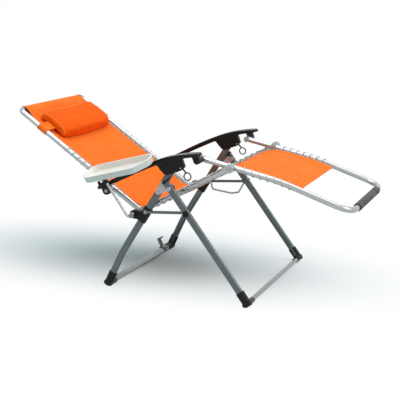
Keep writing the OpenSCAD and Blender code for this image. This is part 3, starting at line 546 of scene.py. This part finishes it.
# along the seat, round the knee, along the leg rest
for t in np.arange(HIP_D + ROW, SEAT_L - KNEE_T - 0.003, ROW):
    u = (t - HIP_D) / (SEAT_L - HIP_D)
    sag = -SEAT_SAG - 0.0043 * math.sin(math.pi * min(1, 1.6 * u)) + SEAT_SAG * max(0, (u - 0.55) / 0.45) ** 1.5
    R.add(HIP + t * d2(SEAT_A), left2(SEAT_A), sag, scallop(t, SEAT_L0, SEAT_N))
    if t < SEAT_SPLIT:
        SEAT_ROW = len(R.p) - 1
for a in np.linspace(SEAT_A, LEG_A1, 17):
    R.add(KNEE_C + KNEE_R * left2(a), left2(a), -0.002, CLOTH_HALF)
KNEE_ROW = len(R.p) - 9
for s in np.arange(math.ceil((KNEE_T + 0.003) / ROW) * ROW, LEG_END, ROW):
    p, a = leg_point(s)
    R.add(p, left2(a), -0.003 * math.sin(math.pi * (s - 0.007) / 0.265), scallop(s, LEG_L0, LEG_N))

HEM = [0.87, 0.90, 0.915, 0.955, 0.985, 1.0]  # columns of points at each side hem
COLS = [-v for v in HEM[::-1]] + [-0.8 + 0.1 * i for i in range(17)] + HEM


def cloth_point(i, v, lift):
    """Point of row i at v across, from -1 to 1: sag, faint ripples, hems that curl between the eyelets."""
    half = R.half[i]
    ripple = 0.0011 * math.sin(R.s[i] * 31.0 + 2.1 * v) * math.sin(R.s[i] * 12.7 - 3.7 * v) * (1 - v * v)
    slack = (PULLED_HALF - half) / EYELET_PULL
    pull = -0.0016 * max(0.0, (abs(v) - 0.72) / 0.28) ** 1.5 * slack
    n = R.sag[i] * (1 - v * v) + ripple * (1 if abs(R.sag[i]) > 0.001 else 0) + pull + lift
    q = R.p[i] + n * R.n[i]
    return np.array((q[0], v * half, q[1]))


CLOTH_T, HEM_T = 0.00075, 0.00055  # half thickness of the cloth, and what a hem adds
END_HEM = 0.022


def thick(i, v, end):
    """Half the thickness: more at the side hems and at the sewn end."""
    t = CLOTH_T
    if abs(v) > 0.905:
        t += HEM_T
    if end and R.s[-1] - R.s[i] < END_HEM:
        t += HEM_T
    return t


def sheet_faces(count, m):
    """Faces of a closed sheet: a grid of count rows of m points, the same below, and the rim."""
    faces, b = [], count * m
    for i in range(count - 1):
        for j in range(m - 1):
            a = i * m + j
            faces.append((a, a + 1, a + m + 1, a + m))
            faces.append((b + a, b + a + m, b + a + m + 1, b + a + 1))
        a, z = i * m, i * m + m - 1
        faces.append((a, a + m, b + a + m, b + a))
        faces.append((z, b + z, b + z + m, z + m))
    for j in range(m - 1):
        faces.append((j, b + j, b + j + 1, j + 1))
        a = (count - 1) * m + j
        faces.append((a, a + 1, b + a + 1, b + a))
    return faces


def strip(name, i0, i1, end):
    """The sling from row i0 to row i1, as one closed sheet."""
    verts, uvs = [], []
    for side in (1, -1):
        for i in range(i0, i1 + 1):
            for v in COLS:
                verts.append(cloth_point(i, v, side * thick(i, v, end)))
                uvs.append((v * R.half[i] + 1.0, R.s[i]))
    obj = mesh_object(name, verts, sheet_faces(i1 - i0 + 1, len(COLS)), uvs)
    sharpen(obj, 50.0)
    paint(obj, M["sling_cloth"])
    return obj


def dash(p, q, n, r):
    """One stitch: a short thread that dips into the cloth at both ends."""
    t = (q - p) / np.linalg.norm(q - p)
    w = np.cross(n, t)
    verts, uvs = [], []
    for f, h, g in ((0.0, -0.6, 0.5), (0.25, 0.6, 1.0), (0.75, 0.6, 1.0), (1.0, -0.6, 0.5)):
        c = p + (q - p) * f + n * r * h
        for a in range(4):
            ang = math.pi / 2 * a
            verts.append(c + r * g * (math.cos(ang) * w + math.sin(ang) * n))
            uvs.append((a / 4, f * 0.004))
    faces = [
        (4 * i + j, 4 * i + (j + 1) % 4, 4 * i + 4 + (j + 1) % 4, 4 * i + 4 + j) for i in range(3) for j in range(4)
    ]
    return verts, faces + [(3, 2, 1, 0), (12, 13, 14, 15)], uvs


STITCH, THREAD_R = 0.0062, 0.00042


def stitch_rows(name, i0, i1, cross_rows):
    """Two rows of thread along each hem, on both faces, and rows across at sewn ends."""
    parts = []

    def row(points, normals):
        d = np.concatenate(([0], np.cumsum(np.linalg.norm(np.diff(points, axis=0), axis=1))))
        for e in range(int(d[-1] / STITCH)):
            a, b = (e + 0.14) * STITCH, (e + 0.80) * STITCH
            p = np.array([np.interp(a, d, points[:, c]) for c in range(3)])
            q = np.array([np.interp(b, d, points[:, c]) for c in range(3)])
            n = np.array([np.interp((a + b) / 2, d, normals[:, c]) for c in range(3)])
            parts.append(dash(p, q, n / np.linalg.norm(n), THREAD_R))

    for face in (1, -1):
        nn = np.array([(R.n[i][0] * face, 0.0, R.n[i][1] * face) for i in range(i0, i1 + 1)])
        for v in (-0.972, -0.912, 0.912, 0.972):
            row(np.array([cloth_point(i, v, face * 0.00145) for i in range(i0, i1 + 1)]), nn)
        for i in cross_rows:
            vs = np.linspace(-0.985, 0.985, 80)
            n = np.array((R.n[i][0] * face, 0.0, R.n[i][1] * face))
            row(np.array([cloth_point(i, v, face * 0.0014) for v in vs]), np.tile(n, (80, 1)))
    obj = mesh_object(name, *join(parts))
    paint(obj, THREAD)
    return obj


last = len(R.p) - 1
HIP_REACH, KNEE_REACH = 0.075, 0.05  # how far a bend spreads along the cloth
# name, first and last row, the two bodies, where the blend starts and ends, CAD node, rows sewn across
LAYOUT = (
    ("sling_back", 0, HIP_ROW, "back_hub", "back",
     HIP_ROW, HIP + HIP_REACH * d2(BACK_A), ["back_sling"], (1, 24)),
    ("sling_seat_rear", HIP_ROW, SEAT_ROW, "back_hub", "seat",
     HIP_ROW, HIP + HIP_REACH * d2(SEAT_A), ["seat_sling"], ()),
    ("sling_seat_front", SEAT_ROW, KNEE_ROW, "leg_hub", "seat",
     KNEE_ROW, KNEE - KNEE_REACH * d2(SEAT_A), [], ()),
    ("sling_leg", KNEE_ROW, last, "leg_hub", "leg_rest",
     KNEE_ROW, KNEE + KNEE_REACH * d2(LEG_A1), ["leg_sling"], (last - 3,)),
)
for name, i0, i1, a, b, start, end, solid, rows in LAYOUT:
    obj = strip(name, i0, i1, name == "sling_leg")
    sewn = stitch_rows(name + "_stitches", i0, i1, rows)
    for o in (obj, sewn):
        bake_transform(o)
    for s in solid:
        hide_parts(s)


# ---------------------------------------------------------------- lacing
CORD_R = 0.0016
TURN_STEPS = 60  # points on each turn of a cord


def wrap(half, t):
    """One turn of lacing from an eyelet round the tube and back: straight, round, straight."""
    i, r = HALF + 0.0064, BAR_R
    reach = half - i
    a = math.pi - math.acos(r / reach)
    run, arc = math.sqrt(reach * reach - r * r), 2 * a * r
    x = (t % 1.0) * (2 * run + arc)
    if run <= x <= run + arc:
        b = a - (x - run) / r
        return half + r * math.cos(b), r * math.sin(b)
    k = x / run if x < run else (2 * run + arc - x) / run
    n = r * math.sin(a) * k
    return i + (half + r * math.cos(a) - i) * k, n if x < run else -n


def back_frame(s, w, n):
    """A point at s up the back from the hip, w across and n out of the cloth."""
    q = HIP + s * d2(BACK_A) - n * left2(BACK_A)
    return np.array((q[0], -w, q[1]))


def lace_point(kind, side, first, half, t):
    w, n = wrap(half, t)
    s, w = first + PITCH * t, side * w
    if kind == "back":
        return back_frame(s, w, n)
    if kind == "seat":
        q = HIP + s * d2(SEAT_A) + n * left2(SEAT_A)
    else:
        p, a = leg_point(s)
        q = p + n * left2(a)
    return np.array((q[0], w, q[1]))


def ease(line, passes):
    """The line with its corners softened."""
    line = np.array(line, float)
    for _ in range(passes):
        line[1:-1] = line[1:-1] * 0.5 + (line[:-2] + line[2:]) * 0.25
    return line


for kind, body, first, half, turns in (
    ("back", "back", BACK_L0, BACK_HALF, BACK_N),
    ("seat", "seat", SEAT_L0, SEAT_HALF, SEAT_N),
    ("leg", "leg_rest", LEG_L0, BACK_HALF, LEG_N),
):
    parts = []
    for side in (-1, 1):
        turn = [k / TURN_STEPS for k in range(turns * TURN_STEPS + 1)]
        parts.append(tube(ease([lace_point(kind, side, first, half, t) for t in turn], 2), CORD_R))
    obj = mesh_object(kind + "_cord", *join(parts))
    sharpen(obj, 60.0)
    paint(obj, M["elastic_cord"])
    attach(obj, body)
    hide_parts(kind + "_lacing")


# ---------------------------------------------------------------- head roll
# place up the back, length across, width and thickness; the share of the length that is full
ROLL_S, ROLL_L, ROLL_W, ROLL_T = 0.520, 0.404, 0.158, 0.054
ROLL_FULL = 0.985
ROLL_END = ROLL_FULL * ROLL_L / 2
ROLL_MID = 0.012  # height of the line that angles round the roll are taken from
SEAM_A, REAR_SEAM_A = 24, 166  # angles of the two sewn edges, in degrees
CLOTH_CAP = 0.005  # most that the cloth run moves a point


def roll_seat(s, w):
    """Height of the sagging sling under the roll."""
    return back_sag(s) * (1 - (w / HALF) ** 2) + 0.0017


def from_back(p):
    """The reverse of back_frame."""
    q = np.array((p[0], p[2])) - HIP
    return float(q @ d2(BACK_A)), -float(p[1]), float(-(q @ left2(BACK_A)))


def roll_form(shrink):
    """The roll before the cloth run: flat below, round above, with full ends."""
    nv, nt = 56, 64
    verts, faces = [], []
    for j in range(nv + 1):
        v = ROLL_FULL * math.sin(math.pi / 2 * (2 * j / nv - 1))
        g = max(0.0, 1 - abs(v) ** 8) ** 0.30
        w = v * (ROLL_L / 2 - shrink)
        for i in range(nt):
            a = 2 * math.pi * i / nt
            c, h = math.cos(a), math.sin(a)
            s = ROLL_S + (ROLL_W / 2 - shrink) * (0.8 + 0.2 * g) * math.copysign(abs(c) ** 0.8, c)
            rise = (ROLL_T - 1.2 * shrink) * g * h ** 0.85 if h > 0 else 0.0
            verts.append(back_frame(s, w, roll_seat(s, w) + 0.008 * (1 - g) + rise + 0.0008))
    for j in range(nv):
        for i in range(nt):
            q = (i + 1) % nt
            faces.append((j * nt + i, j * nt + q, (j + 1) * nt + q, (j + 1) * nt + i))
    faces += [tuple(range(nt))[::-1], tuple(nv * nt + i for i in range(nt))]
    return verts, faces


def make_roll():
    """The stuffed roll: a short cloth run, then puckers, creases and sewn edges."""
    obj = mesh_object("pillow", *roll_form(0.006))
    mod = obj.modifiers.new("remesh", "REMESH")
    mod.mode, mod.voxel_size = "VOXEL", 0.005
    apply(obj)
    rest = np.array([v.co for v in obj.data.vertices])
    bpy.context.view_layer.objects.active = obj
    cloth = obj.modifiers.new("cloth", "CLOTH")
    c = cloth.settings
    c.quality, c.mass = 6, 0.2
    c.tension_stiffness = c.compression_stiffness = 18
    c.shear_stiffness, c.bending_stiffness = 8, 0.4
    c.use_pressure, c.uniform_pressure_force = True, 4.0
    c.effector_weights.gravity = 0.0
    cloth.point_cache.frame_start, cloth.point_cache.frame_end = 1, 20
    for f in range(1, 21):
        scene.frame_set(f)
    apply(obj)
    scene.frame_set(1)
    moved = np.array([v.co for v in obj.data.vertices])
    step = moved - rest
    size = np.linalg.norm(step, axis=1)
    moved = rest + step * np.minimum(1.0, CLOTH_CAP / np.maximum(size, 1e-9))[:, None]
    for k, p in enumerate(moved):  # rests on the sling, draws in towards the sewn ends
        s, w, n = from_back(p)
        e = abs(w) / (ROLL_L / 2)
        ang = math.atan2(n, s - ROLL_S)
        pucker = 0.0022 * max(0.0, (e - 0.62) / 0.38) ** 1.4 * math.sin(13 * ang + 1.3 * math.sin(3 * ang))
        crease = 0.0006 * math.sin(w * 46 + 3.0 * ang) * math.sin(5 * ang) * max(0.0, 1 - e)
        n += pucker + crease
        # sewn edges stand out, the face between is flat
        turn = math.degrees(math.atan2(n - ROLL_MID, s - ROLL_S))
        edge = 0.0080 * math.exp(-(((turn - SEAM_A) / 11) ** 2))
        edge += 0.0055 * math.exp(-(((turn - REAR_SEAM_A) / 11) ** 2))
        edge = (edge - 0.0035 * math.exp(-(((turn - 95) / 30) ** 2))) * max(0.0, 1 - e ** 8)
        s, n = s + edge * math.cos(math.radians(turn)), n + edge * math.sin(math.radians(turn))
        n = max(n, roll_seat(s, w) + 0.0004)
        moved[k] = back_frame(s, w, n)
    obj.data.vertices.foreach_set("co", moved.astype(np.float32).ravel())
    mod = obj.modifiers.new("sub", "SUBSURF")
    mod.levels = mod.render_levels = 1
    apply(obj)
    smooth(obj)
    paint(obj, ROLL_CLOTH)
    return obj


roll = make_roll()
tree = BVHTree.FromObject(roll, bpy.context.evaluated_depsgraph_get())


def on_roll(w, ang, lift):
    """A point on the roll's skin, at w across and ang round its middle line."""
    origin = back_frame(ROLL_S, w, ROLL_MID)
    ray = back_frame(ROLL_S + math.cos(ang), w, ROLL_MID + math.sin(ang)) - origin
    hit = tree.ray_cast(Vector(origin), Vector(ray))[0]
    if hit is None:
        return None
    return np.array(hit) + lift * ray / np.linalg.norm(ray)


def piping_along(points, radius):
    return tube(ease([p for p in points if p is not None], 4), radius)


reach = max(abs(from_back(np.array(v.co))[1]) for v in roll.data.vertices)
pipe_w = min(0.190, reach - 0.004)  # inside the roll's skin, with or without the cloth run
round_end = np.linspace(math.radians(-6), math.radians(186), 70)
across = np.linspace(0.001 - pipe_w, pipe_w - 0.001, 90)
parts = [piping_along([on_roll(w, a, 0.0006) for a in round_end], 0.0021) for w in (-pipe_w, pipe_w)]
parts.append(piping_along([on_roll(w, math.radians(SEAM_A), 0.0004) for w in across], 0.0019))
piping = mesh_object("pillow_piping", *join(parts))
paint(piping, THREAD)


BAND_W, BAND_T = 0.044, 0.0017
BAND_BACK = 0.022  # how far behind the tubes' plane the band runs


def band_line():
    """The band's middle line, across and out of the back: roll's end, round the tube, behind the sling."""
    r, z = TR + 0.0004 + 0.0009, BAND_BACK
    half = [(ROLL_END - 0.004, -r - 0.002), (ROLL_END + 0.012, -r - 0.0008), (BACK_HALF - 0.012, -r)]
    half += [(BACK_HALF + r * math.sin(math.pi * i / 20), -r * math.cos(math.pi * i / 20)) for i in range(21)]
    half += [(BACK_HALF - 0.012, r + 0.0002), (BACK_HALF - 0.03, r + 0.003)]
    half += [(BACK_HALF - 0.06, z - 0.002), (BACK_HALF - 0.085, z)]
    half += [(x, z + 0.001 * math.cos(3 * x / BACK_HALF)) for x in np.linspace(BACK_HALF - 0.11, 0.0, 12)]
    line = np.array(half + [(-x, y) for x, y in half[-2::-1]])
    dense = []
    for a, b in zip(line[:-1], line[1:]):
        k = max(1, int(np.linalg.norm(b - a) / ROW))
        dense += [a + (b - a) * i / k for i in range(k)]
    return ease(dense + [line[-1]], 3)


def strap():
    """One woven band from the roll's ends round the side tubes and behind the sling."""
    line = band_line()
    tan = np.gradient(line, axis=0)
    tan /= np.linalg.norm(tan, axis=1)[:, None]
    nor = np.stack((-tan[:, 1], tan[:, 0]), 1)
    along = np.concatenate(([0], np.cumsum(np.linalg.norm(np.diff(line, axis=0), axis=1))))
    cols = [-1, -0.97, -0.86, -0.84, -0.5, 0, 0.5, 0.84, 0.86, 0.97, 1]
    verts, uvs = [], []
    for side in (1, -1):
        for i in range(len(line)):
            for c in cols:
                selvedge = 0.0004 if abs(c) > 0.85 else 0.0
                q = line[i] + nor[i] * side * (BAND_T / 2 + selvedge)
                verts.append(back_frame(ROLL_S + 0.004 + c * BAND_W / 2, q[0], -q[1]))
                uvs.append((c * BAND_W / 2 + 1.0, along[i]))
    obj = mesh_object("pillow_band", verts, sheet_faces(len(line), len(cols)), uvs)
    bm = bmesh.new()
    bm.from_mesh(obj.data)
    bmesh.ops.recalc_face_normals(bm, faces=bm.faces)
    bm.to_mesh(obj.data)
    bm.free()
    sharpen(obj, 50.0)
    paint(obj, M["sling_cloth"])
    return obj, float(along[-1])


band, band_l = strap()
for o in (roll, piping, band):
    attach(o, "roll")
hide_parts("head_roll")
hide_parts("roll_straps")


# ---------------------------------------------------------------- floor, light
# colours of the painted shadow on the floor round the part
FLOOR_SHADOW_LO, FLOOR_SHADOW_HI = (0.425, 0.605, 0.645), (0.435, 0.615, 0.655)
WHITE = (1, 1, 1, 1)
FILL = 0.46  # the world's light on the part; the world itself is seen as white


def seen_directly(tree):
    """1 for camera, glossy and transmission rays."""
    path = tree.nodes.new("ShaderNodeLightPath")
    a, b = tree.nodes.new("ShaderNodeMath"), tree.nodes.new("ShaderNodeMath")
    a.operation = b.operation = "MAXIMUM"
    tree.links.new(path.outputs["Is Camera Ray"], a.inputs[0])
    tree.links.new(path.outputs["Is Glossy Ray"], a.inputs[1])
    tree.links.new(a.outputs[0], b.inputs[0])
    tree.links.new(path.outputs["Is Transmission Ray"], b.inputs[1])
    return b.outputs[0]


def make_floor():
    """A plain floor with a painted shadow: dark cool grey round the part, darkest left of and behind it, fading to
    white further out.
    """
    bm = bmesh.new()
    bmesh.ops.create_grid(bm, x_segments=8, y_segments=8, size=14.0)
    me = bpy.data.meshes.new("floor")
    bm.to_mesh(me)
    bm.free()
    obj = bpy.data.objects.new("floor", me)
    scene.collection.objects.link(obj)
    m = Nodes("floor", FLOOR_SHADOW_LO, 0.85)
    o = m.coords()
    grain = m.noise(o, 40.0, 3.0, 0.6)
    m.to(m.mix(m.range(grain, 0.3, 0.7, 0.0, 1.0), FLOOR_SHADOW_LO, FLOOR_SHADOW_HI), "Base Color")
    # painted shadow: darkest round (-0.36, 0.10), giving way to white emission further out
    length = m.new("ShaderNodeVectorMath", operation="LENGTH")
    shadow_centre_offset = m.new("ShaderNodeVectorMath", operation="SUBTRACT")
    shadow_centre_offset.inputs[1].default_value = (-0.36, 0.10, 0.0)
    m.link(o, shadow_centre_offset.inputs[0])
    m.link(m.scaled(shadow_centre_offset.outputs["Vector"], (0.62, 1.4, 1.0)), length.inputs[0])
    painted_shadow_fade = m.range(length.outputs["Value"], 0.0, 0.85, 0.04, 1.0)
    white = m.new("ShaderNodeEmission")
    white.inputs["Color"].default_value = WHITE
    white.inputs["Strength"].default_value = 1.0
    mix = m.new("ShaderNodeMixShader")
    m.link(m.math("MULTIPLY", painted_shadow_fade, seen_directly(m.tree)), mix.inputs[0])
    m.link(m.bsdf.outputs[0], mix.inputs[1])
    m.link(white.outputs[0], mix.inputs[2])
    m.link(mix.outputs[0], m.tree.nodes["Material Output"].inputs["Surface"])
    obj.data.materials.append(m.mat)


def make_light(name, place, aim, size, power):
    light = bpy.data.lights.new(name, "AREA")
    light.shape, light.size, light.size_y = "RECTANGLE", size[0], size[1]
    light.energy = power
    obj = bpy.data.objects.new(name, light)
    scene.collection.objects.link(obj)
    obj.location = place
    obj.rotation_mode = "QUATERNION"
    obj.rotation_quaternion = (Vector(aim) - Vector(place)).to_track_quat("-Z", "Y")


def make_world():
    world = bpy.data.worlds.new("studio")
    scene.world = world
    world.use_nodes = True
    t = world.node_tree
    t.nodes.clear()
    dim, white = t.nodes.new("ShaderNodeBackground"), t.nodes.new("ShaderNodeBackground")
    dim.inputs[0].default_value, dim.inputs[1].default_value = WHITE, FILL
    white.inputs[0].default_value, white.inputs[1].default_value = WHITE, 1.0
    mix, out = t.nodes.new("ShaderNodeMixShader"), t.nodes.new("ShaderNodeOutputWorld")
    t.links.new(seen_directly(t), mix.inputs[0])
    t.links.new(dim.outputs[0], mix.inputs[1])
    t.links.new(white.outputs[0], mix.inputs[2])
    t.links.new(mix.outputs[0], out.inputs[0])


make_floor()
make_world()
make_light("key", (-0.7, -1.9, 3.2), (0.0, 0.0, 0.35), (1.6, 1.6), 34.0)
make_light("top", (0.3, 0.6, 3.4), (0.0, 0.0, 0.3), (2.4, 2.4), 44.0)
make_light("side", (3.0, -0.3, 2.3), (0.1, 0.0, 0.3), (1.0, 1.6), 40.0)
